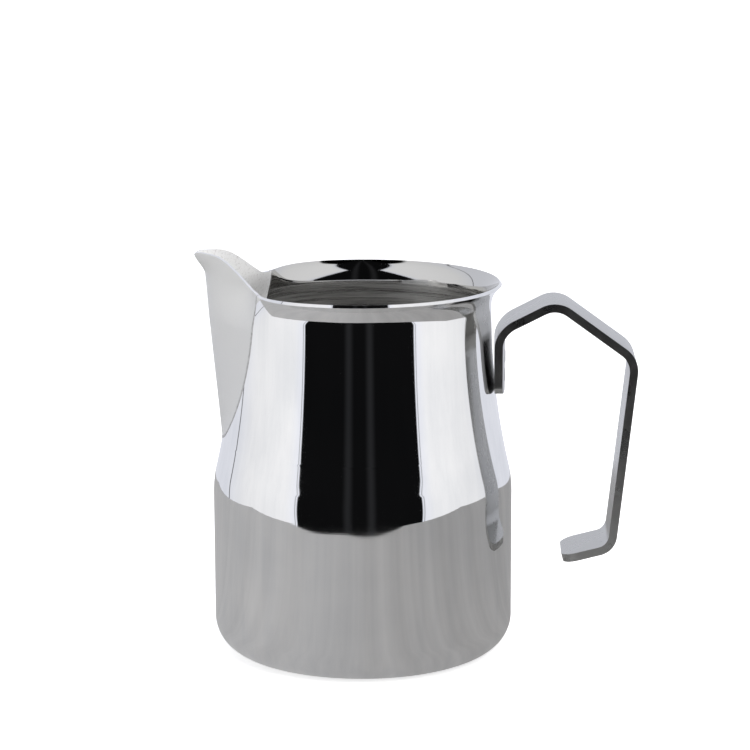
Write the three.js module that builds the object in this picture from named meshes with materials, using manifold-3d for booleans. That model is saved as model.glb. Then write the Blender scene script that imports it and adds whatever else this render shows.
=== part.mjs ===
// A milk frothing pitcher in millimetres, +Z up.
// The origin is on the body's axis at the height of the ring that it stands on.
// +X runs to the handle, -X to the spout, and everything is symmetric about the plane Y = 0.
import * as THREE from "three";
import { mergeVertices } from "three/addons/utils/BufferGeometryUtils.js";
import Module from "manifold-3d";

const wasm = await Module();
wasm.setup();

const DEG = Math.PI / 180;
const MERGE_DISTANCE = 1e-4; // vertices closer than this are one

// Sheet and clearances
const WALL = 1.0; // thickness of the body and spout sheet
const WELD_HALF_WIDTH = 0.6; // half the width of the ground weld bead
const WELD_GAP = 0.3; // clearance on each side of the bead
const WELD_PROUD = 0.12; // how far the bead stands off the sheet

// Body, from the base up
const BODY_RADIUS = 43;
const BASE_CORNER = 9.5;
const RECESS_RADIUS = 27;
const RECESS_DEPTH = 0.5;
const RECESS_STEP = 0.8; // width of the slope from the recess down to the standing ring
const SHOULDER_START = 46;
const SHOULDER_RADIUS = 35;
const SHOULDER_ANGLE = 13 * DEG;
const NECK_RADIUS = 37;
const RIM_HEIGHT = 106.3;
const RIM_RADIUS = 39.9;
const FLARE_ANGLE = 40 * DEG;
const FLARE_BEND = 4; // radius of the bend from the neck into the flare
const BODY_SEGMENTS = 64;
const OUTER_CORNER_FACETS = 6;
const INNER_CORNER_FACETS = 4;
const SHOULDER_FACETS = 4;
const TAPER_FACETS = 6;
const FLARE_FACETS = 3;

// The flare runs on over the seam and fades out in the spout, between these angles
// from the spout's centre line
const FLARE_FADE_FROM = 70 * DEG;
const FLARE_FADE_TO = 26 * DEG;

// Spout: a V of sheet tangent to the neck, with a rounded ridge
const RIDGE_REACH = 44.6; // distance of the ridge from the axis at RIDGE_HEIGHT
const RIDGE_HEIGHT = 105.8;
const RIDGE_SLOPE = 0.095; // outward run of the ridge for each millimetre of height
const RIDGE_ROUNDING = 4.5 * DEG;
const CURL_REACH = 2.7; // outward curl at the tip
const CURL_FROM = 109.2;
const CURL_TO = 115.3;
const CURL_SPREAD = 6 * DEG;
const PINCH_DEPTH = 3.5; // inward lean where the spout's sides meet the rim
const PINCH_CENTRE = 26 * DEG;
const PINCH_SPREAD = 15 * DEG;
const PINCH_FROM = 96;
const PINCH_TO = 108;
const SEAM_LEAN = 1.5 * DEG; // how far the seam draws in over the same heights
const SPOUT_RISE = 6.1; // rise of the spout's edge above the rim
const SPOUT_RISE_FROM = 29 * DEG;
const SPOUT_RISE_TO = 8.5 * DEG;
const EDGE_LIFT = 3.5; // gentle lift of the rim on its way to the spout
const EDGE_LIFT_SPREAD = 23 * DEG;
const TIP_DIP = 1.0;
const TIP_DIP_SPREAD = 2.2 * DEG;
const SLEEVE_FOOT = 58; // below the spout's lowest point
const SLEEVE_SEGMENTS = 80;
const SLEEVE_ROWS = 16;
const SLEEVE_CROWDING = 0.7; // draws the sleeve's columns towards the ridge
const SLEEVE_TOP_CROWDING = 1.5; // draws its rows towards the top edge
const EDGE_BEVEL = 0.3; // the outside of the top edge is this much lower than the inside

// Handle strap: its centre line runs through these corners, in X and Z
const STRAP_WIDTH = 20;
const STRAP_THICKNESS = 2.4;
const STRAP_FACETS = 6; // facets in each bend
const STRAP_COLUMNS = 6; // facets across the width
const TAB_BOTTOM = 76.2;
const TAB_FACE = 38.5; // inner face of the tab, just off the neck at the tab's lower end
const TAB_X = TAB_FACE + STRAP_THICKNESS / 2;
const STRAP_CORNERS = [
  { x: TAB_X, z: 94.3, radius: 7 },
  { x: 55.4, z: 102.3, radius: 7 },
  { x: 77.6, z: 86.2, radius: 7 },
  { x: 71.5, z: 31.5, radius: 5 },
];
const STRAP_END = { x: 57.5, z: 27.9 };
const TAB_CURVE = 70; // radius of the tab's hollow towards the neck
const TAB_FLAT_FROM = 97; // above this height the strap is flat
const TAB_CURVED_TO = 89; // below this height it has the full hollow
const FOOT_CORNER = 4.5;
const TAB_CORNER = 2;

// Spot welds through the tab
const SPOT_RADIUS = 1.8;
const SPOT_GAP = 0.3;
const SPOT_PROUD = 0.2;
const SPOT_FACETS = 20;
const SPOT_HEIGHTS = { upper: 85.6, lower: 80.1 };

const mix = (a, b, t) => a + (b - a) * t;
const bump = (x, spread) => Math.exp(-((x / spread) ** 2));

// 0 at a, 1 at b, smooth between them; a may be larger than b.
function ramp(a, b, x) {
  const t = Math.min(1, Math.max(0, (x - a) / (b - a)));
  return t * t * (3 - 2 * t);
}

// ---------------------------------------------------------------- solids

function toSolid(geometry) {
  const plain = geometry.clone();
  plain.deleteAttribute("normal");
  plain.deleteAttribute("uv");
  const merged = mergeVertices(plain, MERGE_DISTANCE);
  return new wasm.Manifold(
    new wasm.Mesh({
      numProp: 3,
      vertProperties: new Float32Array(merged.attributes.position.array),
      triVerts: new Uint32Array(merged.index.array),
    }),
  );
}

function toGeometry(solid) {
  const mesh = solid.getMesh();
  const geometry = new THREE.BufferGeometry();
  geometry.setAttribute("position", new THREE.BufferAttribute(mesh.vertProperties, 3));
  geometry.setIndex(new THREE.BufferAttribute(mesh.triVerts, 1));
  geometry.computeVertexNormals();
  return geometry;
}

// Extrudes a shape so that its u, v and depth run along the three given axes, from a start point.
function extrudeAlong(shape, depth, [u, v, w], start, steps = 1) {
  const geometry = new THREE.ExtrudeGeometry(shape, { depth, steps, bevelEnabled: false });
  geometry.applyMatrix4(new THREE.Matrix4().makeBasis(u, v, w).setPosition(start));
  return geometry;
}

// Revolves a profile about Z, then puts each vertex where place(angle, row) says.
// Angles are measured from -X, the spout's centre line.
function revolve(profile, segments, place) {
  const geometry = new THREE.LatheGeometry(profile, segments);
  const position = geometry.attributes.position;
  for (let i = 0; i <= segments; i++) {
    for (let row = 0; row < profile.length; row++) {
      const spot = place(((i % segments) / segments) * 2 * Math.PI, row);
      const x = -spot.radius * Math.cos(spot.angle);
      const y = -spot.radius * Math.sin(spot.angle);
      position.setXYZ(i * profile.length + row, x, y, spot.height);
    }
  }
  return geometry;
}

// The size of an angle from the spout's centre line, 0 to pi.
const fromSpout = (angle) => Math.abs(Math.atan2(Math.sin(angle), Math.cos(angle)));

// ---------------------------------------------------------------- body

const SHOULDER_END = SHOULDER_START + SHOULDER_RADIUS * Math.sin(SHOULDER_ANGLE);
const SHOULDER_DROP = SHOULDER_RADIUS * (1 - Math.cos(SHOULDER_ANGLE));
const TAPER_RADIUS =
  (BODY_RADIUS - SHOULDER_DROP - NECK_RADIUS) / (1 - Math.cos(SHOULDER_ANGLE));
const TAPER_END = SHOULDER_END + TAPER_RADIUS * Math.sin(SHOULDER_ANGLE);

// Outer radius of the unflared body above the base corner.
function bodyRadius(z) {
  if (z <= SHOULDER_START) return BODY_RADIUS;
  if (z <= SHOULDER_END) {
    const inner = BODY_RADIUS - SHOULDER_RADIUS;
    return inner + Math.sqrt(SHOULDER_RADIUS ** 2 - (z - SHOULDER_START) ** 2);
  }
  if (z >= TAPER_END) return NECK_RADIUS;
  return NECK_RADIUS + TAPER_RADIUS - Math.sqrt(TAPER_RADIUS ** 2 - (TAPER_END - z) ** 2);
}

// Inward lean where the spout's sides run into the rim.
function pinch(angle, z) {
  return PINCH_DEPTH * bump(angle - PINCH_CENTRE, PINCH_SPREAD) * ramp(PINCH_FROM, PINCH_TO, z);
}

// Height of the top edge all round the rim and the spout.
function edgeHeight(angle) {
  const rise = SPOUT_RISE * ramp(SPOUT_RISE_FROM, SPOUT_RISE_TO, angle);
  const lift = EDGE_LIFT * bump(angle, EDGE_LIFT_SPREAD);
  return RIM_HEIGHT + rise + lift - TIP_DIP * bump(angle, TIP_DIP_SPREAD);
}

// Share of the flare that is left at an angle from the spout's centre line.
const flareShare = (angle) => ramp(FLARE_FADE_TO, FLARE_FADE_FROM, angle);

const point = (r, z) => new THREE.Vector2(r, z);

function arcPoints(centreR, centreZ, radius, from, to, steps) {
  const points = [];
  for (let i = 0; i <= steps; i++) {
    const angle = mix(from, to, i / steps);
    points.push(point(centreR + radius * Math.cos(angle), centreZ + radius * Math.sin(angle)));
  }
  return points;
}

const FLARE_RISE = FLARE_BEND * Math.sin(FLARE_ANGLE);
const FLARE_RUN = FLARE_BEND * (1 - Math.cos(FLARE_ANGLE));
const LIP_RUN = RIM_RADIUS - NECK_RADIUS - FLARE_RUN;
const FLARE_START = RIM_HEIGHT - LIP_RUN / Math.tan(FLARE_ANGLE) - FLARE_RISE;

// How far the outside of a rim without lift stands out from the neck at height z.
function flareReach(z) {
  const rise = Math.max(0, z - FLARE_START);
  if (rise < FLARE_RISE) return FLARE_BEND - Math.sqrt(FLARE_BEND ** 2 - rise ** 2);
  return FLARE_RUN + (rise - FLARE_RISE) * Math.tan(FLARE_ANGLE);
}

// Neck and lip above FLARE_START, from the outside over the edge to the inside.
function flaredTop() {
  const bendCentre = NECK_RADIUS + FLARE_BEND;
  const upright = 180 * DEG;
  const leaning = upright - FLARE_ANGLE;
  const innerBend = FLARE_BEND + WALL;
  const outside = arcPoints(bendCentre, FLARE_START, FLARE_BEND, upright, leaning, FLARE_FACETS);
  const inside = arcPoints(bendCentre, FLARE_START, innerBend, leaning, upright, FLARE_FACETS);
  const edge = point(RIM_RADIUS, RIM_HEIGHT);
  const across = point(-Math.cos(FLARE_ANGLE), Math.sin(FLARE_ANGLE)).multiplyScalar(WALL);
  const along = point(Math.sin(FLARE_ANGLE), Math.cos(FLARE_ANGLE)).multiplyScalar(-WALL / 2);
  const lip = [
    edge.clone().add(along),
    edge.clone().addScaledVector(across, 0.5),
    edge.clone().add(along).add(across),
  ];
  return [...outside, ...lip, ...inside];
}

// The same number of points without the flare.
function plainTop() {
  const lipFoot = RIM_HEIGHT - WALL / 2;
  const heightAt = (_, i) => mix(FLARE_START, lipFoot - WALL, i / FLARE_FACETS);
  const heights = Array.from({ length: FLARE_FACETS + 1 }, heightAt);
  const outside = heights.map((z) => point(NECK_RADIUS, z));
  const inside = heights.map((z) => point(NECK_RADIUS - WALL, z)).reverse();
  const lip = [
    point(NECK_RADIUS, lipFoot),
    point(NECK_RADIUS - WALL / 2, RIM_HEIGHT),
    point(NECK_RADIUS - WALL, lipFoot),
  ];
  return [...outside, ...lip, ...inside];
}

function wallPoints(inset) {
  const points = [];
  for (let i = 0; i <= SHOULDER_FACETS; i++) {
    const z = mix(SHOULDER_START, SHOULDER_END, i / SHOULDER_FACETS);
    points.push(point(bodyRadius(z) - inset, z));
  }
  for (let i = 1; i <= TAPER_FACETS; i++) {
    const z = mix(SHOULDER_END, TAPER_END, i / TAPER_FACETS);
    points.push(point(bodyRadius(z) - inset, z));
  }
  return points;
}

function bodyProfile(top) {
  const cornerR = BODY_RADIUS - BASE_CORNER;
  const floor = RECESS_DEPTH + WALL;
  const innerR = BASE_CORNER - WALL;
  const down = -90 * DEG;
  const outerCorner = arcPoints(cornerR, BASE_CORNER, BASE_CORNER, down, 0, OUTER_CORNER_FACETS);
  const innerCorner = arcPoints(cornerR, BASE_CORNER, innerR, 0, down, INNER_CORNER_FACETS);
  return [
    point(0, RECESS_DEPTH),
    point(RECESS_RADIUS, RECESS_DEPTH),
    point(RECESS_RADIUS + RECESS_STEP, 0),
    ...outerCorner,
    ...wallPoints(0),
    ...top,
    ...wallPoints(WALL).reverse(),
    ...innerCorner,
    point(RECESS_RADIUS, floor),
    point(0, floor),
  ];
}

function wholeBody() {
  const flared = bodyProfile(flaredTop());
  const plain = bodyProfile(plainTop());
  const place = (angle, row) => {
    const away = fromSpout(angle);
    const spot = plain[row].clone().lerp(flared[row], flareShare(away));
    const reach = ramp(FLARE_START, RIM_HEIGHT, spot.y);
    const height = spot.y + (edgeHeight(away) - RIM_HEIGHT) * reach;
    const onTheWall = spot.y > SHOULDER_START;
    return { angle, radius: spot.x - (onTheWall ? pinch(away, height) : 0), height };
  };
  return toSolid(revolve(flared, BODY_SEGMENTS, place));
}

// ---------------------------------------------------------------- spout

const ridgeReach = (z) => RIDGE_REACH + (z - RIDGE_HEIGHT) * RIDGE_SLOPE;

// Angle from the ridge at which the spout's side is tangent to the body, at height z.
function tangentAngle(z) {
  const ratio = bodyRadius(z) / ridgeReach(z);
  return (ratio < 1 ? Math.acos(ratio) : 0) + RIDGE_ROUNDING;
}

// Angle from the ridge at which the spout's side is welded to the body.
const seamAngle = (z) => tangentAngle(z) - SEAM_LEAN * ramp(PINCH_FROM, PINCH_TO, z);

// Radius of the spout's sheet: straight sides tangent to the body, a rounded ridge,
// and the last of the rim's flare.
function spoutRadius(angle, z, inset) {
  const turn = tangentAngle(z) - Math.hypot(angle, RIDGE_ROUNDING);
  const side = (bodyRadius(z) - inset) / Math.cos(Math.max(0, turn));
  const curl = CURL_REACH * ramp(CURL_FROM, CURL_TO, z) * bump(angle, CURL_SPREAD);
  const flare = flareShare(angle) * flareReach(z - edgeHeight(angle) + RIM_HEIGHT);
  return side + curl + flare - pinch(angle, z);
}

// A closed sleeve that follows the spout at the front; only its front is used.
function sleeve(outset, inset, topDrop) {
  const steps = Array.from({ length: SLEEVE_ROWS + 1 }, (_, i) => i / SLEEVE_ROWS);
  const rows = [
    ...steps.map((step) => ({ step, outside: true })),
    ...steps.map((step) => ({ step, outside: false })).reverse(),
    { step: 0, outside: true },
  ];
  const profile = rows.map((row) => point(1, row.step)); // place() puts each vertex where it belongs
  const place = (even, index) => {
    const { step, outside } = rows[index];
    const angle = even - SLEEVE_CROWDING * Math.sin(even);
    const away = fromSpout(angle);
    const top = edgeHeight(away) - topDrop - (outside ? EDGE_BEVEL : 0);
    const height = mix(SLEEVE_FOOT, top, 1 - (1 - step) ** SLEEVE_TOP_CROWDING);
    return { angle, radius: spoutRadius(away, height, outside ? -outset : inset), height };
  };
  return toSolid(revolve(profile, SLEEVE_SEGMENTS, place));
}

// Lowest height at which the ridge stands clear of the body, found by halving.
function ridgeFoot() {
  let low = SHOULDER_START;
  let high = RIDGE_HEIGHT;
  const halvings = 40;
  for (let i = 0; i < halvings; i++) {
    const middle = (low + high) / 2;
    if (ridgeReach(middle) > bodyRadius(middle)) high = middle;
    else low = middle;
  }
  return high;
}

const SEAM_FOOT = ridgeFoot();
const SEAM_TOP = 125; // above every edge

// The seam seen along X: half of it, from the foot up, moved outwards by offset.
function seamSide(offset) {
  const steps = 18;
  const nudge = 0.001; // step ahead that gives the direction of travel
  const at = (t) => {
    const z = mix(SEAM_FOOT, SEAM_TOP, t * t);
    const angle = seamAngle(z);
    return point((bodyRadius(z) - pinch(angle, z)) * Math.sin(angle), z);
  };
  const side = [point(0, SEAM_FOOT - offset)];
  for (let i = 0; i <= steps; i++) {
    const here = at(i / steps);
    const ahead = at(i / steps + nudge).sub(here);
    const normal = point(ahead.y, -ahead.x).normalize();
    side.push(here.addScaledVector(normal, offset));
  }
  return side;
}

const mirrored = (points) => points.map((p) => point(-p.x, p.y)).reverse();

const AXIS_X = new THREE.Vector3(1, 0, 0);
const AXIS_Y = new THREE.Vector3(0, 1, 0);
const AXIS_Z = new THREE.Vector3(0, 0, 1);
const FRONT_START = new THREE.Vector3(-60, 0, 0);
const FRONT_DEPTH = 42;

// Everything in front of the body that lies inside the seam moved outwards by offset.
function insideSeam(offset) {
  const side = seamSide(offset);
  const outline = [...side.slice(1), ...mirrored(side)];
  const shape = new THREE.Shape(outline);
  return toSolid(extrudeAlong(shape, FRONT_DEPTH, [AXIS_Y, AXIS_Z, AXIS_X], FRONT_START));
}

function makeSpout() {
  return sleeve(0, WALL, 0).intersect(insideSeam(-WELD_HALF_WIDTH - WELD_GAP));
}

function makeBody() {
  return wholeBody().subtract(insideSeam(WELD_HALF_WIDTH + WELD_GAP));
}

function makeSpoutWeld() {
  const band = insideSeam(WELD_HALF_WIDTH).subtract(insideSeam(-WELD_HALF_WIDTH));
  return sleeve(WELD_PROUD, WALL + WELD_PROUD, WELD_PROUD).intersect(band);
}

// ---------------------------------------------------------------- handle

// Centre line of the strap with its bends, as points with the direction of travel.
function strapPath() {
  const corners = STRAP_CORNERS;
  const ends = [{ x: TAB_X, z: TAB_BOTTOM }, ...corners, STRAP_END];
  const path = [];
  const heading = (a, b) => Math.atan2(b.z - a.z, b.x - a.x);
  const tabSteps = 4;
  for (let i = 0; i < tabSteps; i++) {
    const z = mix(TAB_BOTTOM, corners[0].z - corners[0].radius, i / tabSteps);
    path.push({ x: TAB_X, z, angle: 90 * DEG });
  }
  corners.forEach((corner, i) => {
    const before = heading(ends[i], corner);
    let after = heading(corner, ends[i + 2]);
    while (after > before) after -= 2 * Math.PI;
    const back = corner.radius * Math.tan((before - after) / 2);
    const startX = corner.x - back * Math.cos(before);
    const startZ = corner.z - back * Math.sin(before);
    const centreX = startX + corner.radius * Math.sin(before);
    const centreZ = startZ - corner.radius * Math.cos(before);
    for (let k = 0; k <= STRAP_FACETS; k++) {
      const angle = mix(before, after, k / STRAP_FACETS);
      const x = centreX - corner.radius * Math.sin(angle);
      const z = centreZ + corner.radius * Math.cos(angle);
      path.push({ x, z, angle });
    }
  });
  path.push({ ...STRAP_END, angle: heading(corners.at(-1), STRAP_END) });
  return path;
}

// The strap is flat, except that its tab is hollowed towards the neck.
function hollowTab(geometry) {
  const position = geometry.attributes.position;
  for (let i = 0; i < position.count; i++) {
    const x = position.getX(i);
    const y = position.getY(i);
    const onTheTab = x < STRAP_CORNERS[1].x;
    const share = onTheTab ? ramp(TAB_FLAT_FROM, TAB_CURVED_TO, position.getZ(i)) : 0;
    position.setX(i, x - share * (TAB_CURVE - Math.sqrt(TAB_CURVE ** 2 - y * y)));
  }
}

// A prism that rounds one corner of the strap; u points out of the strap's end, v along its width.
function cornerCut(radius, sign) {
  const half = STRAP_WIDTH / 2;
  const margin = 1; // past the strap's end and side
  const shape = new THREE.Shape();
  shape.moveTo(margin, sign * (half - radius));
  shape.lineTo(margin, sign * (half + margin));
  shape.lineTo(-radius, sign * (half + margin));
  shape.lineTo(-radius, sign * half);
  shape.absarc(-radius, sign * (half - radius), radius, sign * 90 * DEG, 0, sign > 0);
  return shape;
}

function makeStrap() {
  const path = strapPath();
  const half = STRAP_THICKNESS / 2;
  const beside = (s) => (p) => point(p.x - s * Math.sin(p.angle), p.z + s * Math.cos(p.angle));
  const shape = new THREE.Shape([...path.map(beside(half)), ...path.map(beside(-half)).reverse()]);
  const start = new THREE.Vector3(0, STRAP_WIDTH / 2, 0);
  const axes = [AXIS_X, AXIS_Z, AXIS_Y.clone().negate()];
  const flat = extrudeAlong(shape, STRAP_WIDTH, axes, start, STRAP_COLUMNS);
  hollowTab(flat);
  let strap = toSolid(flat);
  const reach = 2 * (STRAP_THICKNESS + FOOT_CORNER); // the cutting prisms pass right through
  const footStart = new THREE.Vector3(STRAP_END.x - half / 2, 0, STRAP_END.z - reach / 2);
  const footAxes = [AXIS_X.clone().negate(), AXIS_Y.clone().negate(), AXIS_Z];
  const tabStart = new THREE.Vector3(TAB_X + reach / 2, 0, TAB_BOTTOM);
  const tabAxes = [AXIS_Z.clone().negate(), AXIS_Y.clone().negate(), AXIS_X.clone().negate()];
  for (const sign of [-1, 1]) {
    const foot = extrudeAlong(cornerCut(FOOT_CORNER, sign), reach, footAxes, footStart);
    const tab = extrudeAlong(cornerCut(TAB_CORNER, sign), reach, tabAxes, tabStart);
    strap = strap.subtract(toSolid(foot)).subtract(toSolid(tab));
  }
  for (const height of Object.values(SPOT_HEIGHTS)) {
    const hole = SPOT_RADIUS + SPOT_GAP;
    strap = strap.subtract(spotCylinder(height, hole, TAB_FACE - half, TAB_X + 2 * half));
  }
  return strap;
}

// A cylinder along X at the given height.
function spotCylinder(height, radius, fromX, toX) {
  const geometry = new THREE.CylinderGeometry(radius, radius, toX - fromX, SPOT_FACETS);
  geometry.rotateZ(-90 * DEG);
  geometry.translate((fromX + toX) / 2, 0, height);
  return toSolid(geometry);
}

// The nugget reaches from just off the neck to just proud of the tab.
function makeSpot(height) {
  const outerFace = TAB_FACE + STRAP_THICKNESS;
  return spotCylinder(height, SPOT_RADIUS, bodyRadius(height) + SPOT_GAP, outerFace + SPOT_PROUD);
}

// ---------------------------------------------------------------- assembly

const polished = new THREE.MeshStandardMaterial({ color: 0xd9dbdf, roughness: 0.06, metalness: 1 });
const satin = new THREE.MeshStandardMaterial({ color: 0xc6c6c3, roughness: 0.38, metalness: 1 });
const weld = new THREE.MeshStandardMaterial({ color: 0xa9a8a4, roughness: 0.5, metalness: 1 });

const pitcher = new THREE.Group();

function addPart(name, solid, material) {
  const mesh = new THREE.Mesh(toGeometry(solid), material.clone());
  mesh.name = name;
  pitcher.add(mesh);
}

addPart("body_shell", makeBody(), polished);
addPart("spout", makeSpout(), satin);
addPart("spout_weld_seam", makeSpoutWeld(), weld);
addPart("handle_strap", makeStrap(), satin);
addPart("handle_spot_weld_upper", makeSpot(SPOT_HEIGHTS.upper), weld);
addPart("handle_spot_weld_lower", makeSpot(SPOT_HEIGHTS.lower), weld);

export default pitcher;
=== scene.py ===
"""A milk frothing pitcher in polished and satin steel, in a light tent with an open front.

Shapes are worked out in millimetres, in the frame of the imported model, and turned into metres
when a mesh is made. Angles round the body are measured from -X, the spout's centre line.
"""

import math

import bmesh
import bpy
from mathutils import Matrix, Vector


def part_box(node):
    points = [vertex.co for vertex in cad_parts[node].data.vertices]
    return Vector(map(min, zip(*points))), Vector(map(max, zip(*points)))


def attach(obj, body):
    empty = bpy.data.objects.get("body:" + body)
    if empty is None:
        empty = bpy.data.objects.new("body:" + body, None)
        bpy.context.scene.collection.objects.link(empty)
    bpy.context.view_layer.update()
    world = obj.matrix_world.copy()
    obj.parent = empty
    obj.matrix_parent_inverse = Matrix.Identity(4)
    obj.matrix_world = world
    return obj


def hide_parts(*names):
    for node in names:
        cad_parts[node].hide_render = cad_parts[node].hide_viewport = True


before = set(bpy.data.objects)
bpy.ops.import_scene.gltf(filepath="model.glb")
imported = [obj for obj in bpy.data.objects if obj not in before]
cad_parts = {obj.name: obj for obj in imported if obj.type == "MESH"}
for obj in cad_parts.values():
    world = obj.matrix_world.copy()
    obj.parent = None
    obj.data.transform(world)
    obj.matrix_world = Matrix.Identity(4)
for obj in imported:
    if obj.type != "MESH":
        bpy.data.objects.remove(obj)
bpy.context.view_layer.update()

MM = 0.001

# Sheet
WALL = 1.0
LIP_ROUNDING = 0.42
LIP_EDGE_ANGLE = 50  # degrees between faces above which an edge of the sheet is rounded
BEVEL_SEGMENTS = 4

# Weld bead along the spout's seam
BEAD_HALF_WIDTH = 0.8
BEAD_PROUD = 0.07
BEAD_FLATNESS = 0.7  # 1 makes its section an ellipse, less makes it flatter
BEAD_END_RINGS = 6  # it narrows over this many rings at each end
BEAD_END_WIDTH = 0.6  # to this share of its width
BEAD_END_DEPTH = 0.7  # and this share of its depth
BEAD_SIDES = 20
BEAD_STEPS = 240  # along each side of the spout

# Body, from the base up
BODY_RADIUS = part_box("body_shell")[1].y / MM
BASE_CORNER = 9.5
RECESS_RADIUS = 27
RECESS_DEPTH = 0.5
RECESS_STEP = 0.8
SHOULDER_START = 46
SHOULDER_RADIUS = 35
SHOULDER_ANGLE = math.radians(13)
NECK_RADIUS = 37
RIM_HEIGHT = 106.3
RIM_RADIUS = 39.9
FLARE_ANGLE = math.radians(48)
FLARE_BEND = 7  # the lip curves nearly all the way to its edge
FLARE_FADE_FROM = math.radians(70)  # the flare fades out in the spout, between these angles
FLARE_FADE_TO = math.radians(26)
BODY_COLUMNS = 360
RECESS_ROWS = 12
STEP_ROWS = 8
RING_ROWS = 8
CORNER_ROWS = 36
STRAIGHT_ROWS = 24
SHOULDER_ROWS = 24
TAPER_ROWS = 110
LIP_ROWS = 26

# Spout
RIDGE_REACH = 44.6
RIDGE_HEIGHT = 105.8
RIDGE_SLOPE = 0.095
RIDGE_ROUNDING = math.radians(4.5)
CURL_REACH = 2.64
CURL_FROM = 109.2
CURL_TO = 115.3
CURL_SPREAD = math.radians(6)
PINCH_DEPTH = 3.5
PINCH_CENTRE = math.radians(26)
PINCH_SPREAD = math.radians(15)
PINCH_FROM = 96
PINCH_TO = 108
SEAM_LEAN = math.radians(1.5)  # the seam's top turns this far towards the ridge
SPOUT_RISE = 5.95
SPOUT_RISE_FROM = math.radians(29)
SPOUT_RISE_TO = math.radians(8.5)
EDGE_LIFT = 3.5
EDGE_LIFT_SPREAD = math.radians(23)
TIP_DIP = 1.0
TIP_DIP_SPREAD = math.radians(2.2)
SEAM_CLOSING = 2.5  # the seam closes to a point over this height above its foot
SEAM_FOOT_HALVINGS = 40
SPOUT_COLUMNS = 96
COLUMN_EVENNESS = 0.6  # 1 spaces the columns evenly, less draws them towards the seams
SPOUT_ROWS = 110
HEIGHT_PASSES = 60
HEIGHT_PASS_SHARE = 0.6

# Handle strap: corners of its centre line in X and Z, with the radius of each bend
STRAP_WIDTH = 20
STRAP_THICKNESS = 2.36
TAB_BOTTOM = 76.2
TAB_X = 39.7
STRAP_CORNERS = [(TAB_X, 94.3, 7), (55.4, 102.3, 7), (77.6, 86.2, 7), (71.5, 31.5, 5)]
STRAP_END = (57.5, 27.9)
TAB_CURVE = 70  # radius of the tab's hollow towards the neck
TAB_FLAT_FROM = 97  # above this height the strap is flat
TAB_CURVED_TO = 89  # below this height it has the full hollow
FOOT_CORNER = 4.5
TAB_CORNER = 2
STRAP_EDGE = 0.8  # rounding of the strap's long edges
STRAP_EDGE_ANGLE = 40  # degrees between faces above which an edge of the strap is rounded
STRAP_STEP = 0.7
STRAP_COLUMNS = 24
STRAP_BEND_STEPS = 20
STRAP_CORNER_STEPS = 14

# Spot welds through the tab
SPOT_CAD_PROUD = 0.2  # how far the CAD spot stands proud of the tab
SPOT_SIDES = 48
SPOT_BACK_DEPTH = 0.6  # its back lies this far inside the tab
SPOT_BACK_SHARE = 0.9  # and is narrower than its widest ring by this factor
SPOT_RINGS = [  # share of the radius, and how far the ring stands proud of the tab
    (1.15, -0.12), (1.08, 0.0), (0.98, 0.1), (0.86, 0.14), (0.72, 0.08), (0.5, 0.02), (0.25, 0.0),
]

# Camera: a long lens, a little above the rim and to the right; distances in metres
CAMERA_DISTANCE = 0.7728
CAMERA_HEIGHT = 0.2378
CAMERA_TURN = math.radians(2.5)
CAMERA_PITCH = math.radians(11.556)
CAMERA_LOOKS_RIGHT = math.radians(0.272)
CAMERA_ROLL = math.radians(-0.22)
CAMERA_LENS = 132
CAMERA_SENSOR = 36

# Studio, in metres
FLOOR_REACH = 6.0
FLOOR_LIFT = 0.62  # glow that the camera sees on the floor
PAPER_ROUGHNESS = 0.9
TABLE_SIDES = (-0.34, 0.46, 0.24)  # the white sheet's left and right corners and its back edge
TABLE_BACK_LEFT = -0.22  # where its back edge ends on the left
TABLE_CORNER = (-0.021, -0.206)  # its corner towards the camera
TABLE_SLOPES = (0.7, 0.33)  # of its edges left and right of that corner
TABLE_ROUNDING = 0.05
TABLE_STEPS = 64
SOFT_LIGHTS = [  # name, place and watts
    ("overhead", (-0.1, 0.05, 1.1), 5.0),
    ("front", (0.35, -0.75, 0.85), 7.0),
]
SOFT_LIGHT_SIZE = 0.8
SOFT_LIGHT_AIM = (0, 0, 0.07)

# Light tent, by direction: turns are counted from the camera's side, heights from the horizon
OPENING = math.radians(48.5)  # half the angle of the tent's opening
OPENING_WAIST = math.radians(17)  # and at its waist
WAIST_HEIGHT = math.radians(44)
WAIST_FROM = math.radians(8)  # the opening narrows from here and is wide again at WAIST_TO
WAIST_TO = math.radians(72)
OPENING_SOFTNESS = math.radians(0.5)
FRAME_OFFSET = math.radians(1.6)  # a grey line runs beside the opening
FRAME_WIDTH = math.radians(0.7)
FOLD_TURN = math.radians(121)  # a thin dark fold in the wall, behind on the left
FOLD_CORE = math.radians(0.3)
FOLD_WIDTH = math.radians(1.0)
TOP_FROM = math.radians(70)
TOP_TO = math.radians(73)
FALL_FROM = math.radians(45)  # the walls get darker between these turns
FALL_TO = math.radians(150)
SHEEN_TURN = math.radians(9)  # two faint streaks inside the opening
SHEEN_WIDTH = math.radians(5)
TINT_REACH = math.radians(12)  # the walls are bluer up to this far from the opening
TINT_FROM = math.radians(95)  # and from here round to the back
TINT_TO = math.radians(130)


def mix(a, b, t):
    return a + (b - a) * t


def bump(x, spread):
    return math.exp(-((x / spread) ** 2))


def ramp(a, b, x):
    """0 at a, 1 at b, smooth between them; a may be larger than b."""
    t = min(1.0, max(0.0, (x - a) / (b - a)))
    return t * t * (3 - 2 * t)


def quarter(share):
    """Quarter circle that starts upright: 0 at 0, and 1 from 1 on."""
    return math.sqrt(1 - (1 - min(1.0, share)) ** 2)


def sagitta(radius, along):
    """How far a circle has left its tangent at a distance along that tangent."""
    return radius - math.sqrt(radius**2 - along**2)


# ---------------------------------------------------------------- shape of the sheet

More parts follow.
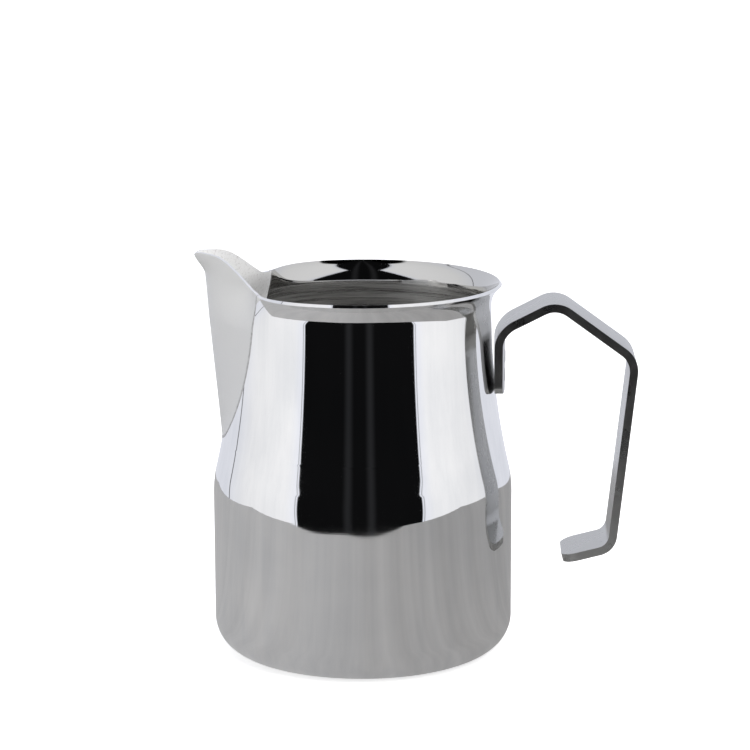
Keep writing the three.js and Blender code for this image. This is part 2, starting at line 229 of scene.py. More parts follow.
SHOULDER_END = SHOULDER_START + SHOULDER_RADIUS * math.sin(SHOULDER_ANGLE)
SHOULDER_DROP = SHOULDER_RADIUS * (1 - math.cos(SHOULDER_ANGLE))
TAPER_RADIUS = (BODY_RADIUS - SHOULDER_DROP - NECK_RADIUS) / (1 - math.cos(SHOULDER_ANGLE))
TAPER_END = SHOULDER_END + TAPER_RADIUS * math.sin(SHOULDER_ANGLE)
FLARE_RISE = FLARE_BEND * math.sin(FLARE_ANGLE)
FLARE_RUN = FLARE_BEND * (1 - math.cos(FLARE_ANGLE))
FLARE_STRAIGHT = (RIM_RADIUS - NECK_RADIUS - FLARE_RUN) / math.tan(FLARE_ANGLE)
FLARE_START = RIM_HEIGHT - FLARE_STRAIGHT - FLARE_RISE


def body_radius(z):
    """Outer radius of the unflared body above the base corner."""
    if z <= SHOULDER_START:
        return BODY_RADIUS
    if z <= SHOULDER_END:
        return BODY_RADIUS - sagitta(SHOULDER_RADIUS, z - SHOULDER_START)
    if z >= TAPER_END:
        return NECK_RADIUS
    return NECK_RADIUS + sagitta(TAPER_RADIUS, TAPER_END - z)


def flare_reach(z):
    """How far the outside of a rim without lift stands out from the neck at height z."""
    rise = max(0.0, z - FLARE_START)
    if rise < FLARE_RISE:
        return sagitta(FLARE_BEND, rise)
    return FLARE_RUN + (rise - FLARE_RISE) * math.tan(FLARE_ANGLE)


def flare_share(angle):
    """Share of the flare that is left at an angle from the spout's centre line."""
    return ramp(FLARE_FADE_TO, FLARE_FADE_FROM, angle)


def pinch(angle, z):
    """How far the sheet is drawn in beside the spout, near the top."""
    return PINCH_DEPTH * bump(angle - PINCH_CENTRE, PINCH_SPREAD) * ramp(PINCH_FROM, PINCH_TO, z)


def edge_height(angle):
    """Height of the outside of the top edge, all round the rim and the spout."""
    rise = SPOUT_RISE * ramp(SPOUT_RISE_FROM, SPOUT_RISE_TO, angle)
    lift = EDGE_LIFT * bump(angle, EDGE_LIFT_SPREAD)
    return RIM_HEIGHT + rise + lift - TIP_DIP * bump(angle, TIP_DIP_SPREAD)


def ridge_reach(z):
    """Distance of the spout's rounded ridge from the axis, before its curl and its flare."""
    return RIDGE_REACH + (z - RIDGE_HEIGHT) * RIDGE_SLOPE


def tangent_angle(z):
    """Angle from the ridge at which the spout's side is tangent to the body."""
    ratio = body_radius(z) / ridge_reach(z)
    return (math.acos(ratio) if ratio < 1 else 0.0) + RIDGE_ROUNDING


def seam_foot():
    """Lowest height at which the ridge stands clear of the body."""
    low, high = SHOULDER_START, RIDGE_HEIGHT
    for _ in range(SEAM_FOOT_HALVINGS):
        middle = (low + high) / 2
        if ridge_reach(middle) > body_radius(middle):
            high = middle
        else:
            low = middle
    return high


SEAM_FOOT = seam_foot()


def seam_angle(z):
    """Half the spout's angle at height z: 0 at the seam's foot."""
    rise = (z - SEAM_FOOT) / SEAM_CLOSING
    if rise <= 0:
        return 0.0
    return (tangent_angle(z) - SEAM_LEAN * ramp(PINCH_FROM, PINCH_TO, z)) * quarter(rise)


def spout_radius(angle, z):
    """Distance of the spout's outside from the axis: two flat sides and a rounded ridge."""
    turn = tangent_angle(z) - math.hypot(angle, RIDGE_ROUNDING)
    side = body_radius(z) / math.cos(max(0.0, turn))
    curl = CURL_REACH * ramp(CURL_FROM, CURL_TO, z) * bump(angle, CURL_SPREAD)
    flare = flare_share(angle) * flare_reach(z - edge_height(angle) + RIM_HEIGHT)
    return side + curl + flare - pinch(angle, z)


def on_the_sheet(angle, radius, z):
    return Vector((-radius * math.cos(angle), -radius * math.sin(angle), z))


def from_spout(angle):
    """Angle from the spout's centre line, the shorter way round."""
    return abs(math.atan2(math.sin(angle), math.cos(angle)))


# ---------------------------------------------------------------- mesh helpers


def spread(a, b, steps):
    return [mix(a, b, i / steps) for i in range(steps + 1)]


def arc(centre_r, centre_z, radius, start, end, steps):
    turns = spread(start, end, steps)
    return [(centre_r + radius * math.cos(t), centre_z + radius * math.sin(t)) for t in turns]


def face_outwards(bm):
    """Turns the faces of an open sheet round the axis so that they look away from it."""
    bmesh.ops.recalc_face_normals(bm, faces=bm.faces)
    outward = 0.0
    for face in bm.faces:
        middle = face.calc_center_median()
        outward += face.normal.dot(Vector((middle.x, middle.y, 0))) * face.calc_area()
    if outward < 0:
        bmesh.ops.reverse_faces(bm, faces=bm.faces)


def new_piece(name, bm, material_list, slot, *nodes):
    """Turns a bmesh in millimetres into a smooth piece in metres that stands for CAD nodes."""
    bmesh.ops.scale(bm, vec=(MM, MM, MM), verts=bm.verts)
    for face in bm.faces:
        face.smooth = True
    mesh = bpy.data.meshes.new(name)
    bm.to_mesh(mesh)
    bm.free()
    piece = bpy.data.objects.new(name, mesh)
    bpy.context.scene.collection.objects.link(piece)
    for material in material_list:
        mesh.materials.append(material)
    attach(piece, "root")
    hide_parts(*nodes)
    return piece


def grid_faces(bm, rows, closed=False):
    """Quads between neighbouring rows of vertices."""
    for lower, upper in zip(rows, rows[1:]):
        count = len(lower)
        for i in range(count if closed else count - 1):
            j = (i + 1) % count
            corners = [lower[i], lower[j], upper[j], upper[i]]
            kept = [v for n, v in enumerate(corners) if v not in corners[:n]]
            if len(kept) > 2:
                bm.faces.new(kept)


def add_bevel(piece, width, angle):
    """Rounds the edges that are sharper than an angle in degrees."""
    bevel = piece.modifiers.new("rounding", "BEVEL")
    bevel.width = width * MM
    bevel.segments = BEVEL_SEGMENTS
    bevel.limit_method = "ANGLE"
    bevel.angle_limit = math.radians(angle)
    bevel.harden_normals = True
    bevel.use_clamp_overlap = True


def add_wall(piece, inner_material, edge_material=0):
    """Thickens an open sheet inwards; its inside and its edge take other material slots."""
    wall = piece.modifiers.new("wall", "SOLIDIFY")
    wall.thickness = WALL * MM
    wall.offset = -1
    wall.use_even_offset = True
    wall.use_quality_normals = True
    wall.material_offset = inner_material
    wall.material_offset_rim = edge_material


# ---------------------------------------------------------------- body


def body_outline():
    """The outside of the body from the base's centre to the lip, as radius and height."""
    corner_r = BODY_RADIUS - BASE_CORNER
    down = math.radians(-90)
    points = [(r, RECESS_DEPTH) for r in spread(0, RECESS_RADIUS, RECESS_ROWS)]
    for share in spread(0, 1, STEP_ROWS)[1:]:
        step_height = RECESS_DEPTH * (1 - ramp(0, 1, share))
        points.append((RECESS_RADIUS + RECESS_STEP * share, step_height))
    points += [(r, 0.0) for r in spread(RECESS_RADIUS + RECESS_STEP, corner_r, RING_ROWS)[1:]]
    points += arc(corner_r, BASE_CORNER, BASE_CORNER, down, 0, CORNER_ROWS)[1:]
    wall = spread(BASE_CORNER, SHOULDER_START, STRAIGHT_ROWS)[1:]
    wall += spread(SHOULDER_START, SHOULDER_END, SHOULDER_ROWS)[1:]
    wall += spread(SHOULDER_END, FLARE_START, TAPER_ROWS)[1:]
    points += [(body_radius(z), z) for z in wall]
    lip = spread(FLARE_START, RIM_HEIGHT, LIP_ROWS)[1:]
    points += [(NECK_RADIUS + flare_reach(z), z) for z in lip]
    return points


def body_point(angle, radius, z):
    """Fades the flare out towards the spout, and lifts and leans the top edge."""
    away = from_spout(angle)
    if z <= SHOULDER_START:
        return on_the_sheet(angle, radius, z)
    height = z + (edge_height(away) - RIM_HEIGHT) * ramp(FLARE_START, RIM_HEIGHT, z)
    kept = mix(body_radius(z), radius, flare_share(away))
    return on_the_sheet(angle, kept - pinch(away, height), height)


def make_body(materials):
    """The drawn body, open where the spout is set in: each row runs from seam to seam."""
    bm = bmesh.new()
    rows = []
    for radius, z in body_outline():
        if radius == 0:
            centre = bm.verts.new((0, 0, z))
            rows.append([centre] * (BODY_COLUMNS + 1))
            continue
        half = seam_angle(z)
        row = []
        for i in range(BODY_COLUMNS + 1):
            angle = mix(half, 2 * math.pi - half, i / BODY_COLUMNS)
            row.append(bm.verts.new(body_point(angle, radius, z)))
        if half == 0:
            bm.verts.remove(row[-1])
            row[-1] = row[0]
        rows.append(row)
    grid_faces(bm, rows)
    face_outwards(bm)
    piece = new_piece("pitcher_body", bm, materials, "polished_steel", "body_shell")
    add_wall(piece, inner_material=1)
    add_bevel(piece, LIP_ROUNDING, LIP_EDGE_ANGLE)


# ---------------------------------------------------------------- spout and its weld


def spout_point(across, up):
    """A point of the spout's outside: across from -1 to 1, up from 0 at the foot to 1 at the edge.

    The height and the angle depend on each other, so both are approached in passes.
    """
    z = mix(SEAM_FOOT, edge_height(0), up)
    for _ in range(HEIGHT_PASSES):
        angle = across * seam_angle(z)
        z = mix(z, mix(SEAM_FOOT, edge_height(abs(angle)), up), HEIGHT_PASS_SHARE)
    return on_the_sheet(angle, spout_radius(abs(angle), z), z)


def make_spout(materials):
    """The folded spout, from a point at its foot to the pouring edge."""
    bm = bmesh.new()
    evenly = spread(-1, 1, SPOUT_COLUMNS)
    columns = [mix(math.sin(c * math.pi / 2), c, COLUMN_EVENNESS) for c in evenly]
    rows = []
    for share in spread(0, 1, SPOUT_ROWS)[1:]:
        up = share * share * (2 - share)  # rows lie closer together at the foot
        rows.append([bm.verts.new(spout_point(across, up)) for across in columns])
    foot = bm.verts.new(spout_point(0, 0))
    grid_faces(bm, [[foot] * (SPOUT_COLUMNS + 1)] + rows)
    face_outwards(bm)
    piece = new_piece("pitcher_spout", bm, materials, "satin_steel", "spout")
    add_wall(piece, inner_material=1, edge_material=2)
    add_bevel(piece, LIP_ROUNDING, LIP_EDGE_ANGLE)


def seam_line():
    """The seam on the outside, from one end of the edge down round the foot to the other."""
    line = []
    for i in range(-BEAD_STEPS, BEAD_STEPS + 1):
        across = (i > 0) - (i < 0)
        line.append(spout_point(across, (abs(i) / BEAD_STEPS) ** 2))
    return line


def make_weld(material):
    """A flat bead that fills the seam through the whole wall and stands a little proud of it."""
    bm = bmesh.new()
    line = seam_line()
    last = len(line) - 1
    rings = []
    for n, centre in enumerate(line):
        along = (line[min(last, n + 1)] - line[max(0, n - 1)]).normalized()
        out = Vector((centre.x, centre.y, 0)).normalized()
        beside = along.cross(out).normalized()
        out = beside.cross(along).normalized()
        size = quarter(min(n, last - n) / BEAD_END_RINGS)
        half_width = BEAD_HALF_WIDTH * mix(BEAD_END_WIDTH, 1, size)
        half_depth = (WALL / 2 + BEAD_PROUD) * mix(BEAD_END_DEPTH, 1, size)
        middle = centre - out * (WALL / 2)
        ring = []
        for k in range(BEAD_SIDES):
            turn = 2 * math.pi * k / BEAD_SIDES
            flat = math.copysign(abs(math.sin(turn)) ** BEAD_FLATNESS, math.sin(turn))
            spot = middle + beside * (half_width * math.cos(turn)) + out * (half_depth * flat)
            ring.append(bm.verts.new(spot))
        rings.append(ring)
    grid_faces(bm, rings, closed=True)
    bm.faces.new(rings[0])
    bm.faces.new(rings[-1])
    bmesh.ops.recalc_face_normals(bm, faces=bm.faces)
    new_piece("spout_seam", bm, [material], "weld_steel", "spout_weld_seam")


# ---------------------------------------------------------------- handle


def heading_to(a, b):
    return math.atan2(b[1] - a[1], b[0] - a[0])


def strap_path():
    """The strap's centre line, as (x, z, direction of travel, distance from its start)."""
    start = (TAB_X, TAB_BOTTOM)
    ends = [start] + [(x, z) for x, z, _ in STRAP_CORNERS] + [STRAP_END]
    path = [(*start, math.radians(90))]

    def straight_to(x, z, heading):
        x0, z0, _ = path[-1]
        steps = max(1, round(math.hypot(x - x0, z - z0) / STRAP_STEP))
        for i in range(1, steps + 1):
            path.append((mix(x0, x, i / steps), mix(z0, z, i / steps), heading))

    def bend(radius, before, after):
        """Turns clockwise from one heading to another, from the end of the path."""
        x0, z0, _ = path[-1]
        centre_x = x0 + radius * math.sin(before)
        centre_z = z0 - radius * math.cos(before)
        for heading in spread(before, after, STRAP_BEND_STEPS)[1:]:
            x = centre_x - radius * math.sin(heading)
            z = centre_z + radius * math.cos(heading)
            path.append((x, z, heading))

    for i, (x, z, radius) in enumerate(STRAP_CORNERS):
        before = heading_to(ends[i], (x, z))
        after = heading_to((x, z), ends[i + 2])
        while after > before:
            after -= 2 * math.pi
        back = radius * math.tan((before - after) / 2)
        straight_to(x - back * math.cos(before), z - back * math.sin(before), before)
        bend(radius, before, after)
    straight_to(*STRAP_END, heading_to(STRAP_CORNERS[-1], STRAP_END))
    measured = []
    distance = 0.0
    for i, (x, z, heading) in enumerate(path):
        if i:
            distance += math.hypot(x - path[i - 1][0], z - path[i - 1][1])
        measured.append((x, z, heading, distance))
    return measured


def at_distance(path, distance):
    """Place and heading at a distance along the path."""
    for a, b in zip(path, path[1:]):
        if distance <= b[3]:
            share = (distance - a[3]) / (b[3] - a[3])
            return tuple(mix(p, q, share) for p, q in zip(a[:3], b[:3]))
    return path[-1][:3]


def half_width(distance, length):
    """Half the strap's width, which rounds off at the tab's and the foot's corners."""
    half = STRAP_WIDTH / 2
    for corner, from_end in ((TAB_CORNER, distance), (FOOT_CORNER, length - distance)):
        if from_end < corner:
            return half - corner + math.sqrt(max(0.0, corner**2 - (corner - from_end) ** 2))
    return half


def tab_hollow(y):
    return sagitta(TAB_CURVE, y)


def strap_distances(path):
    """Distances at which the strap has a row of vertices: closest at its rounded corners."""
    length = path[-1][3]
    shares = [1 - math.cos(turn) for turn in spread(0, math.pi / 2, STRAP_CORNER_STEPS)[:-1]]
    tab = [TAB_CORNER * share for share in shares]
    foot = [length - FOOT_CORNER * share for share in shares]
    middle = [p[3] for p in path if TAB_CORNER <= p[3] <= length - FOOT_CORNER]
    return tab + middle + foot[::-1]


def make_handle(material):
    """The bent strap: an upper and an under sheet of vertices, joined along their edges."""
    bm = bmesh.new()
    path = strap_path()
    length = path[-1][3]
    half = STRAP_THICKNESS / 2
    sheets = {1: [], -1: []}
    for distance in strap_distances(path):
        x, z, heading = at_distance(path, distance)
        width = half_width(distance, length)
        for side, rows in sheets.items():
            px = x - side * half * math.sin(heading)
            pz = z + side * half * math.cos(heading)
            on_the_tab = px < STRAP_CORNERS[1][0]
            hollow = ramp(TAB_FLAT_FROM, TAB_CURVED_TO, pz) if on_the_tab else 0
            row = []
            for y in spread(-width, width, STRAP_COLUMNS):
                row.append(bm.verts.new((px - hollow * tab_hollow(y), y, pz)))
            rows.append(row)
    for rows in sheets.values():
        grid_faces(bm, rows)
    top, under = sheets[1], sheets[-1]
    for edge in (0, -1):
        grid_faces(bm, [[row[edge] for row in top], [row[edge] for row in under]])
        grid_faces(bm, [top[edge], under[edge]])
    bmesh.ops.recalc_face_normals(bm, faces=bm.faces)
    piece = new_piece("handle", bm, [material], "satin_steel", "handle_strap")
    add_bevel(piece, STRAP_EDGE, STRAP_EDGE_ANGLE)


def make_spot_weld(name, node, material):
    """A shallow crater with a raised ring, sunk into the outside of the tab."""
    low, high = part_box(node)
    face = high.x / MM - SPOT_CAD_PROUD
    centre_z = (low.z + high.z) / 2 / MM
    radius = (high.z - low.z) / 2 / MM
    bm = bmesh.new()
    rings = []
    for share, proud in SPOT_RINGS:
        ring = []
        for k in range(SPOT_SIDES):
            turn = 2 * math.pi * k / SPOT_SIDES
            y = radius * share * math.cos(turn)
            z = centre_z + radius * share * math.sin(turn)
            ring.append(bm.verts.new((face + proud - tab_hollow(y), y, z)))
        rings.append(ring)
    back = []
    for vertex in rings[0]:
        z = mix(centre_z, vertex.co.z, SPOT_BACK_SHARE)
        back.append(bm.verts.new((face - SPOT_BACK_DEPTH, vertex.co.y * SPOT_BACK_SHARE, z)))
    grid_faces(bm, [back] + rings, closed=True)
    bm.faces.new(back)
    bm.faces.new(rings[-1])
    bmesh.ops.recalc_face_normals(bm, faces=bm.faces)
    new_piece(name, bm, [material], "weld_steel", node)


# ---------------------------------------------------------------- materials


class Nodes:
    """A small helper that adds and links shader nodes."""

    def __init__(self, name):
        self.material = bpy.data.materials.new(name)
        self.material.use_nodes = True
        self.tree = self.material.node_tree
        self.shader = self.tree.nodes["Principled BSDF"]

    def add(self, kind, inputs=None, **settings):
        node = self.tree.nodes.new(kind)
        for key, value in settings.items():
            setattr(node, key, value)
        for key, value in (inputs or {}).items():
            if hasattr(value, "is_output"):
                self.tree.links.new(value, node.inputs[key])
            else:
                node.inputs[key].default_value = value
        return node

    def math(self, operation, a, b=0.0, c=0.0):
        return self.add("ShaderNodeMath", {0: a, 1: b, 2: c}, operation=operation).outputs[0]

    def band(self, value, low, high, out_low=0.0, out_high=1.0):
        """Smoothly maps a value from low..high to out_low..out_high."""
        ranged = {0: value, 1: low, 2: high, 3: out_low, 4: out_high}
        return self.add("ShaderNodeMapRange", ranged, interpolation_type="SMOOTHSTEP").outputs[0]

    def object_axes(self):
        spot = self.add("ShaderNodeTexCoord").outputs["Object"]
        return spot, self.add("ShaderNodeSeparateXYZ", {0: spot}).outputs

    def noise(self, vector, scale, detail=4.0, roughness=0.5):
        inputs = {"Vector": vector, "Scale": scale, "Detail": detail, "Roughness": roughness}
        return self.add("ShaderNodeTexNoise", inputs).outputs[0]

    def cells(self, vector, scale):
        """Distance from the nearest of many scattered points."""
        return self.add("ShaderNodeTexVoronoi", {"Vector": vector, "Scale": scale}).outputs[0]

    def stretched(self, vector, factors):
        return self.add("ShaderNodeMapping", {"Vector": vector, "Scale": factors}).outputs[0]

    def length(self, a, b):
        squares = self.math("MULTIPLY_ADD", a, a, self.math("MULTIPLY", b, b))
        return self.math("SQRT", squares)

    def along_the_profile(self, axes):
        """Coordinates whose third runs up the wall and in over the floor, so noise makes rings."""
        travel = self.math("SUBTRACT", axes[2], self.length(axes[0], axes[1]))
        return self.add("ShaderNodeCombineXYZ", {0: axes[0], 1: axes[1], 2: travel}).outputs[0]

    def colour(self, value, dark, light):
        mixed = self.add("ShaderNodeMix", data_type="RGBA")
        self.tree.links.new(value, mixed.inputs[0])
        mixed.inputs[6].default_value = (*dark, 1)
        mixed.inputs[7].default_value = (*light, 1)
        self.tree.links.new(mixed.outputs[2], self.shader.inputs["Base Color"])

    def bump(self, *layers):
        """Bump from (height, distance in metres) layers, one on another."""
        normal = None
        for height, distance in layers:
            inputs = {"Height": height, "Distance": distance, "Strength": 1.0}
            if normal:
                inputs["Normal"] = normal
            normal = self.add("ShaderNodeBump", inputs).outputs[0]
        self.tree.links.new(normal, self.shader.inputs["Normal"])

    def link(self, value, socket):
        self.tree.links.new(value, self.shader.inputs[socket])


def polished_steel():
    """Mirror polish with faint upright buffing marks, hazy patches and a few fine pits."""
    m = Nodes("polished_steel")
    spot, axes = m.object_axes()
    rings = m.along_the_profile(axes)
    m.shader.inputs["Metallic"].default_value = 1.0
    smudge = m.noise(spot, 34, 4)
    upright = m.noise(m.stretched(spot, (300, 300, 12)), 1.0, 4, 0.6)
    hair = m.noise(m.stretched(rings, (30, 30, 2600)), 1.0, 3)
    cells = m.cells(spot, 130)
    chosen = m.noise(spot, 60, 2)
    pits = m.math("MULTIPLY", m.band(cells, 0.02, 0.05, 1.0, 0.0), m.band(chosen, 0.6, 0.66))
    tone = m.math("MULTIPLY_ADD", smudge, 0.65, m.math("MULTIPLY", upright, 0.35))
    shade = m.math("SUBTRACT", m.band(tone, 0.3, 0.7), pits)
    m.colour(shade, (0.80, 0.805, 0.81), (0.93, 0.925, 0.915))
    haze = m.math("MULTIPLY", m.band(smudge, 0.4, 0.75), 0.02)
    wear = m.math("MULTIPLY", m.band(hair, 0.55, 0.8), 0.015)
    m.link(m.math("ADD", m.math("ADD", haze, wear), 0.025), "Roughness")
    wave = m.noise(spot, 26, 1)
    m.bump((wave, 0.000012), (hair, 0.0000006))
    return m.material


def brushed_inside():
    """The inside, brushed in rings up to the lip, which is polished like the outside."""
    m = Nodes("brushed_inside")
    spot, axes = m.object_axes()
    rings = m.along_the_profile(axes)
    m.shader.inputs["Anisotropic"].default_value = 0.55
    lip = m.band(axes[2], (FLARE_START - 0.4) * MM, (FLARE_START + 0.5) * MM)
    fine = m.noise(m.stretched(rings, (55, 55, 4200)), 1.0, 5, 0.65)
    broad = m.noise(m.stretched(rings, (24, 24, 700)), 1.0, 3)
    streak = m.math("MULTIPLY_ADD", fine, 0.6, m.math("MULTIPLY", broad, 0.4))
    contrast = m.band(streak, 0.32, 0.68)
    brushed = m.math("SUBTRACT", 1.0, lip)
    shade = m.math("MAXIMUM", contrast, m.math("MULTIPLY", lip, 1.5))
    m.colour(shade, (0.17, 0.167, 0.16), (0.62, 0.615, 0.60))
    m.link(m.math("MAXIMUM", lip, 0.8), "Metallic")
    rough = m.band(streak, 0.3, 0.7, 0.2, 0.4)
    m.link(m.math("MULTIPLY_ADD", rough, brushed, m.math("MULTIPLY", lip, 0.05)), "Roughness")
    fine_rings = m.math("MULTIPLY", fine, brushed)
    broad_rings = m.math("MULTIPLY", broad, brushed)
    m.bump((fine_rings, 0.00001), (broad_rings, 0.000014))
    tangent = m.add("ShaderNodeTangent", direction_type="RADIAL", axis="Z")
    m.link(tangent.outputs[0], "Tangent")
    return m.material


def satin_steel(name, metallic, dark, light, smoothest, roughest):
    """Blasted and buffed steel: a cloudy tone, fine grain and a few small pits."""
    m = Nodes(name)
    spot, _ = m.object_axes()
    m.shader.inputs["Metallic"].default_value = metallic
    cloud = m.noise(spot, 90, 4)
    grain = m.noise(spot, 2600, 3)
    cells = m.cells(spot, 420)
    chosen = m.noise(spot, 230, 2)
    pits = m.math("MULTIPLY", m.band(cells, 0.0, 0.16, 1.0, 0.0), m.band(chosen, 0.62, 0.68))
    speckled = m.math("MULTIPLY_ADD", cloud, 0.7, m.math("MULTIPLY", grain, 0.3))
    tone = m.math("SUBTRACT", speckled, pits)
    m.colour(tone, (dark, dark, dark - 0.01), (light, light, light - 0.012))
    m.link(m.band(cloud, 0.3, 0.7, smoothest, roughest), "Roughness")
    m.bump((grain, 0.000008), (m.math("MULTIPLY", pits, -1.0), 0.00003))
    return m.material


def blasted_inside():
    """The spout's inside: pale, matt and finely speckled."""
    m = Nodes("blasted_inside")
    spot, _ = m.object_axes()
    m.shader.inputs["Metallic"].default_value = 0.1
    grain = m.noise(spot, 1500, 4, 0.7)
    m.colour(m.band(grain, 0.28, 0.5), (0.72, 0.71, 0.70), (0.97, 0.97, 0.965))
    m.link(m.band(grain, 0.3, 0.7, 0.45, 0.6), "Roughness")
    m.bump((grain, 0.00002))
    return m.material


def weld_steel():
    """Ground weld metal: darker, lumpy and pitted."""
    m = Nodes("weld_steel")
    spot, _ = m.object_axes()
    m.shader.inputs["Metallic"].default_value = 1.0
    lumps = m.noise(spot, 900, 4, 0.6)
    cells = m.cells(spot, 1100)
    m.colour(m.band(lumps, 0.3, 0.7), (0.40, 0.395, 0.385), (0.66, 0.655, 0.645))
    m.link(m.band(lumps, 0.3, 0.7, 0.32, 0.55), "Roughness")
    m.bump((lumps, 0.00006), (m.band(cells, 0.0, 0.5), 0.00004))
    return m.material


# ---------------------------------------------------------------- studio


def only_reflected(obj):
    """Leaves an object to be seen in mirrors alone."""
    obj.visible_camera = False
    obj.visible_diffuse = False
    obj.visible_shadow = False
    obj.visible_transmission = False


def flat_piece(name, corners, material):
    mesh = bpy.data.meshes.new(name)
    mesh.from_pydata(corners, [], [tuple(range(len(corners)))])
    mesh.materials.append(material)
    obj = bpy.data.objects.new(name, mesh)
    bpy.context.scene.collection.objects.link(obj)
    return obj


def floor_paper():
    """White paper. To the camera it is lifted to the clean white of a product shot."""
    m = Nodes("floor_paper")
    m.shader.inputs["Base Color"].default_value = (0.82, 0.82, 0.82, 1)
    m.shader.inputs["Roughness"].default_value = PAPER_ROUGHNESS
    m.shader.inputs["Specular IOR Level"].default_value = 0.0
    m.shader.inputs["Emission Color"].default_value = (1, 1, 1, 1)
    seen = m.add("ShaderNodeLightPath").outputs["Is Camera Ray"]
    m.link(m.math("MULTIPLY", seen, FLOOR_LIFT), "Emission Strength")
    return m.material


def table_paper_with_painted_light():
    """The table as the steel mirrors it, with painted light: lighter on the left as though lit
    from there, with streaks away from the axis.
    """
    m = Nodes("table_paper_with_painted_light")
    spot, _ = m.object_axes()
    m.shader.inputs["Roughness"].default_value = PAPER_ROUGHNESS
    m.shader.inputs["Specular IOR Level"].default_value = 0.0
    ray = m.add("ShaderNodeVectorMath", {0: spot}, operation="NORMALIZE").outputs[0]
    streaks = m.noise(ray, 5, 5, 0.6)
    sideways = m.add("ShaderNodeSeparateXYZ", {0: ray}).outputs[0]
    # painted light: the sheet's colour is lighter towards the left, as light falling from there
    # would make it
    side = m.band(sideways, -1.0, 0.9, 0.62, 0.1)
    shade = m.math("MULTIPLY_ADD", m.band(streaks, 0.25, 0.75), 0.22, side)
    m.colour(shade, (0.50, 0.49, 0.47), (0.97, 0.955, 0.92))
    # a faint painted glow over the whole sheet, though it is no lamp
    m.shader.inputs["Emission Color"].default_value = (1, 0.98, 0.95, 1)
    m.shader.inputs["Emission Strength"].default_value = 0.05
    return m.material


def make_floor():
    """The floor that the camera sees, and the smaller white sheet with painted light that the
    steel mirrors.
    """
    far = FLOOR_REACH
    corners = [(-far, -far, 0), (far, -far, 0), (far, far, 0), (-far, far, 0)]
    floor = flat_piece("floor", corners, floor_paper())
    floor.visible_glossy = False
    left, right, back = TABLE_SIDES
    corner_x, corner_y = TABLE_CORNER
    outline = []
    for x in spread(left, right, TABLE_STEPS):
        slope = TABLE_SLOPES[0] if x < corner_x else TABLE_SLOPES[1]
        inward = math.hypot(slope * (x - corner_x), TABLE_ROUNDING) - TABLE_ROUNDING
        outline.append((x, corner_y + inward, 0))
    outline += [(right, back, 0), (TABLE_BACK_LEFT, back, 0)]
    only_reflected(flat_piece("table_in_reflections", outline, table_paper_with_painted_light()))


class Sky(Nodes):
    """The same helper on a world's node tree."""

    def __init__(self, name):
        world = bpy.data.worlds.new(name)
        bpy.context.scene.world = world
        world.use_nodes = True
        self.tree = world.node_tree
        self.tree.nodes.clear()


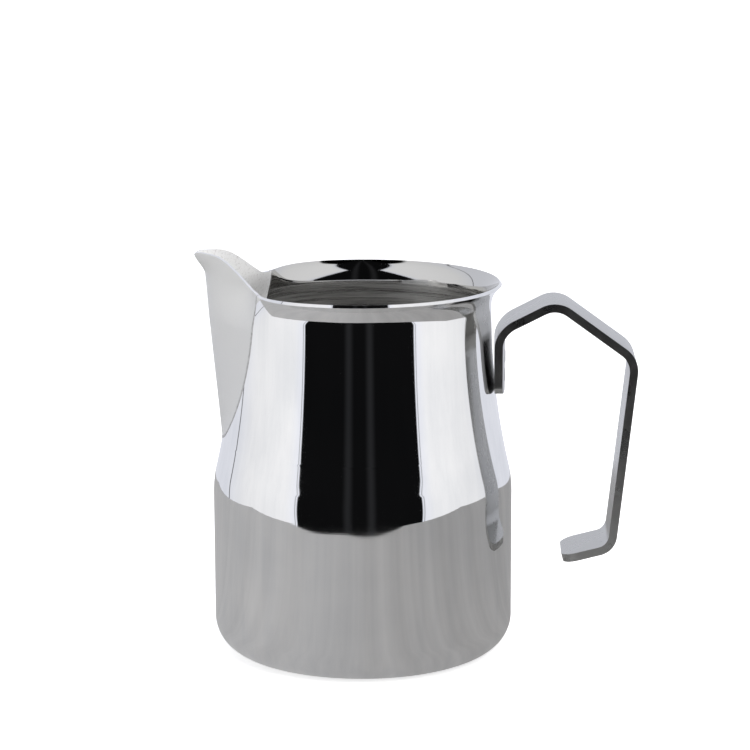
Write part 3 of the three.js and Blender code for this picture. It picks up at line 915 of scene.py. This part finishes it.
def make_world():
    """A light tent: white walls, an opening towards the camera and a dark top."""
    w = Sky("light_tent")
    direction = w.add("ShaderNodeTexCoord").outputs["Generated"]
    x, y, z = w.add("ShaderNodeSeparateXYZ", {0: direction}).outputs
    turn = w.math("ARCTAN2", x, w.math("MULTIPLY", y, -1.0))
    size = w.math("ABSOLUTE", turn)
    height = w.math("ARCTAN2", z, w.length(x, y))

    narrowing = {0: height, 1: WAIST_FROM, 2: WAIST_HEIGHT, 3: OPENING, 4: OPENING_WAIST}
    widening = {0: height, 1: WAIST_HEIGHT, 2: WAIST_TO, 3: OPENING_WAIST, 4: OPENING}
    lower = w.add("ShaderNodeMapRange", narrowing).outputs[0]
    upper = w.add("ShaderNodeMapRange", widening).outputs[0]
    past = w.math("SUBTRACT", size, w.math("MAXIMUM", lower, upper))
    walls = w.band(past, -OPENING_SOFTNESS, OPENING_SOFTNESS)

    from_frame = w.math("ABSOLUTE", w.math("SUBTRACT", past, FRAME_OFFSET))
    frame_line = w.band(from_frame, 0.0, FRAME_WIDTH, 1.0, 0.0)
    from_fold = w.math("ABSOLUTE", w.math("ADD", turn, FOLD_TURN))
    fold = w.band(from_fold, FOLD_CORE, FOLD_WIDTH, 1.0, 0.0)
    top = w.band(height, TOP_FROM, TOP_TO)
    shade = w.math("MAXIMUM", top, w.math("MULTIPLY", frame_line, 0.6))
    shade = w.math("MAXIMUM", shade, w.math("MULTIPLY", fold, 0.85))
    lit = w.math("MULTIPLY", walls, w.math("SUBTRACT", 1.0, shade))
    fall = w.band(size, FALL_FROM, FALL_TO, 1.0, 0.86)

    from_sheen = w.math("ABSOLUTE", w.math("SUBTRACT", size, SHEEN_TURN))
    sheen = w.band(from_sheen, 0.0, SHEEN_WIDTH, 0.022, 0.005)
    inside = w.math("MULTIPLY", sheen, w.math("SUBTRACT", 1.0, walls))
    strength = w.math("MULTIPLY_ADD", lit, fall, inside)

    beside = w.band(past, 0.0, TINT_REACH, 1.0, 0.0)
    edge = w.math("MAXIMUM", beside, w.band(size, TINT_FROM, TINT_TO))
    cool = w.add("ShaderNodeMix", {0: edge}, data_type="RGBA")
    cool.inputs[6].default_value = (0.97, 0.975, 1.0, 1)
    cool.inputs[7].default_value = (0.90, 0.92, 1.0, 1)
    tent = w.add("ShaderNodeBackground", {"Color": cool.outputs[2], "Strength": strength})
    white = w.add("ShaderNodeBackground", {"Color": (1, 1, 1, 1), "Strength": 1.1})
    seen = w.add("ShaderNodeLightPath").outputs["Is Camera Ray"]
    both = w.add("ShaderNodeMixShader", {0: seen, 1: tent.outputs[0], 2: white.outputs[0]})
    w.add("ShaderNodeOutputWorld", {0: both.outputs[0]})


def make_soft_lights():
    """Soft light on the paper and on matt metal; mirrors don't show it."""
    for name, place, energy in SOFT_LIGHTS:
        data = bpy.data.lights.new(name, "AREA")
        data.shape = "DISK"
        data.size = SOFT_LIGHT_SIZE
        data.energy = energy
        data.color = (1.0, 0.985, 0.955)
        light = bpy.data.objects.new(name, data)
        light.location = place
        aim = Vector(SOFT_LIGHT_AIM) - light.location
        light.rotation_euler = aim.to_track_quat("-Z", "Y").to_euler()
        light.visible_glossy = False
        bpy.context.scene.collection.objects.link(light)


def make_camera():
    """A long lens, placed by its distance from the axis and its height over the table."""
    data = bpy.data.cameras.new("camera")
    data.lens = CAMERA_LENS
    data.sensor_width = CAMERA_SENSOR
    data.clip_start = 0.05
    data.clip_end = 30
    camera = bpy.data.objects.new("camera", data)
    bpy.context.scene.collection.objects.link(camera)
    camera_x = CAMERA_DISTANCE * math.sin(CAMERA_TURN)
    camera_y = -CAMERA_DISTANCE * math.cos(CAMERA_TURN)
    place = Matrix.Translation((camera_x, camera_y, CAMERA_HEIGHT))
    heading = Matrix.Rotation(CAMERA_TURN - CAMERA_LOOKS_RIGHT, 4, "Z")
    tilt = Matrix.Rotation(math.radians(90) - CAMERA_PITCH, 4, "X")
    camera.matrix_world = place @ heading @ tilt @ Matrix.Rotation(CAMERA_ROLL, 4, "Z")
    bpy.context.scene.camera = camera


# ---------------------------------------------------------------- scene

bpy.context.scene.view_settings.view_transform = "Standard"
make_camera()
make_world()
make_soft_lights()
make_floor()

welded = weld_steel()
polished = polished_steel()
make_body([polished, brushed_inside()])
make_spout([satin_steel("satin_spout", 0.55, 0.66, 0.76, 0.4, 0.5), blasted_inside(), polished])
make_weld(welded)
make_handle(satin_steel("satin_handle", 1.0, 0.40, 0.64, 0.24, 0.34))
make_spot_weld("spot_weld_upper", "handle_spot_weld_upper", welded)
make_spot_weld("spot_weld_lower", "handle_spot_weld_lower", welded)
